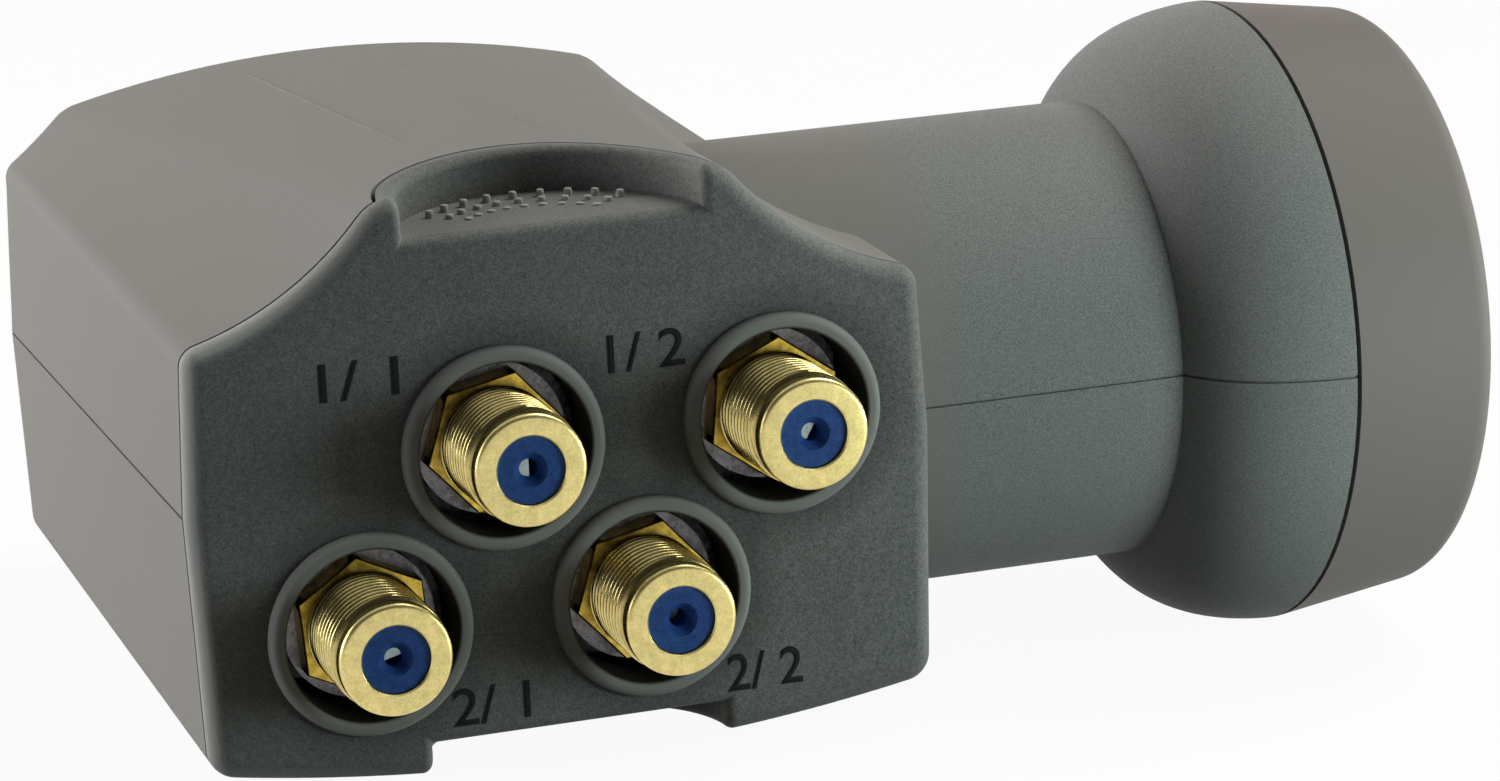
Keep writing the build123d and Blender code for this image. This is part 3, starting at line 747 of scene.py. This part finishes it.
# Studio
def add_camera():
    """Looks at the aim point from its left and above, rolled about its own line of sight."""
    turn, rise, roll = (math.radians(a) for a in (CAMERA_TURN, CAMERA_RISE, CAMERA_ROLL))
    back = Vector((-math.sin(turn) * math.cos(rise), -math.cos(turn) * math.cos(rise), math.sin(rise)))
    right = Vector((0, 0, 1)).cross(back).normalized()
    up = back.cross(right)
    rolled_right = right * math.cos(roll) - up * math.sin(roll)
    rolled_up = right * math.sin(roll) + up * math.cos(roll)
    camera = bpy.data.cameras.new("camera")
    camera.sensor_fit = "HORIZONTAL"
    camera.sensor_width = SENSOR_WIDTH
    camera.lens = FOCAL_PIXELS * SENSOR_WIDTH / PHOTO_WIDTH
    camera.clip_start, camera.clip_end = (length * MM for length in CAMERA_CLIP)
    holder = add_object("camera", camera)
    turned = Matrix((rolled_right, rolled_up, back)).transposed().to_4x4()
    holder.matrix_world = Matrix.Translation((Vector(CAMERA_AIM) + back * CAMERA_DISTANCE) * MM) @ turned
    bpy.context.scene.camera = holder


def seen_rays(finish):
    """1 for rays from the camera, reflections and see-through surfaces, and 0 for the rest."""
    kinds = ("Camera", "Glossy", "Transmission")
    return finish.clamp(total(finish.node("LightPath", output=f"Is {kind} Ray") for kind in kinds))


def add_floor():
    """A pale floor that keeps part of the shadow, on the plane that the cap's rim and the base rest on.

    Its height is the cap's lower rim's at the shells' end, and rises towards the box by the tilt.
    """
    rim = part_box("horn_cap")
    slope = math.tan(math.radians(FLOOR_TILT))
    x = np.array([-FLOOR_HALF, FLOOR_HALF, FLOOR_HALF, -FLOOR_HALF])
    y = np.array([-FLOOR_HALF, -FLOOR_HALF, FLOOR_HALF, FLOOR_HALF])
    seam_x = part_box("upper_shell")[1].x / MM
    z = rim[0].z / MM + (seam_x - x) * slope
    mesh = bpy.data.meshes.new("floor")
    mesh.from_pydata(np.stack([x, y, z], -1) * MM, [], [(0, 1, 2, 3)])
    finish = new_finish("floor")
    pale = finish.node("BsdfDiffuse", None, {"Color": rgba(grey(FLOOR_SEEN))})
    glow = finish.node("Emission", None, {"Color": rgba(grey(1.0)), "Strength": 1.0})
    dim = finish.node("BsdfDiffuse", None, {"Color": rgba(grey(FLOOR_BOUNCE))})
    seen = finish.node("MixShader", None, {0: FLOOR_GLOW, 1: pale, 2: glow})
    both = finish.node("MixShader", None, {0: seen_rays(finish), 1: dim, 2: seen})
    finish.node("OutputMaterial", None, {"Surface": both})
    mesh.materials.append(finish.owner)
    floor = add_object("floor", mesh)


def light_world():
    """For what is seen, a white backdrop with a taller left wing and a grey ceiling in a dark room.

    The rest gets a faint even light.
    """
    world = bpy.data.worlds.new("studio")
    bpy.context.scene.world = world
    finish = Finish(world)
    direction = finish.node("TexCoord", output="Generated")
    side, away, height = (finish.axis(direction, letter) for letter in "XYZ")
    wing = finish.stretch(side, *WING_SIDE) * WING_RISE
    backdrop = finish.stretch(away, *BACKDROP_AWAY) * (1.0 - finish.stretch(height - wing, *BACKDROP_TOP))
    skirting = 1.0 - finish.stretch(height, *SKIRTING_TOP)
    ceiling = finish.stretch(height, *CEILING_RISE) * CEILING_GREY
    lit = finish.clamp(backdrop + skirting + ceiling)
    room = finish.blend(lit, grey(ROOM_GREY), grey(BACKDROP_GREY))
    seen = finish.node("Background", None, {"Color": room, "Strength": 1.0})
    even = finish.node("Background", None, {"Color": rgba(grey(1.0)), "Strength": AMBIENT})
    both = finish.node("MixShader", None, {0: seen_rays(finish), 1: even, 2: seen})
    finish.node("OutputWorld", None, {"Surface": both})


def add_lights():
    """The soft boxes, which light the object but don't show in the picture."""
    for name, (place, aim, size, watts, colour) in SOFT_BOXES.items():
        lamp = bpy.data.lights.new(name, "AREA")
        lamp.shape = "SQUARE"
        lamp.size = size * MM
        lamp.energy = watts
        lamp.color = colour
        holder = add_object(name, lamp)
        holder.location = Vector(place) * MM
        holder.rotation_euler = (Vector(aim) - Vector(place)).to_track_quat("-Z", "Y").to_euler()
        holder.visible_camera = False


bpy.context.scene.view_settings.view_transform = "Standard"
add_camera()
finishes = finish_nodes()
gold = turned_gold()
# The marks' edge layer is a black painted shadow round the strokes
mark_shadow = matt_solid("mark_shadow", MARK_SHADOW_BLACK, size=0.2, contrast=0.3, rough=0.8)
mark_plastic = moulded_plastic("mark_plastic", shade(SLIDE_GREY, MARK_SHADE), speck=0.3, sheen=0.05)
# The pegs' paler plastic is a painted highlight
peg_highlight_plastic = moulded_plastic("peg_highlight_plastic", shade(SLIDE_GREY, PEG_HIGHLIGHT), speck=0.15)
for port, (text, centre) in MARKS.items():
    add_port(port, gold)
    add_mark(f"mark_shadow_{port}", text, centre, *MARK_SHADOW_LAYER, mark_shadow)
    add_mark(f"mark_{port}", text, centre, *MARK_TOP, mark_plastic)
add_pegs(peg_highlight_plastic)
for side, (start, end) in zip(("left", "right"), LINE_ENDS):
    add_crown_line(f"crown_line_{side}", start, end, finishes["shell_plastic"])
add_floor()
light_world()
add_lights()
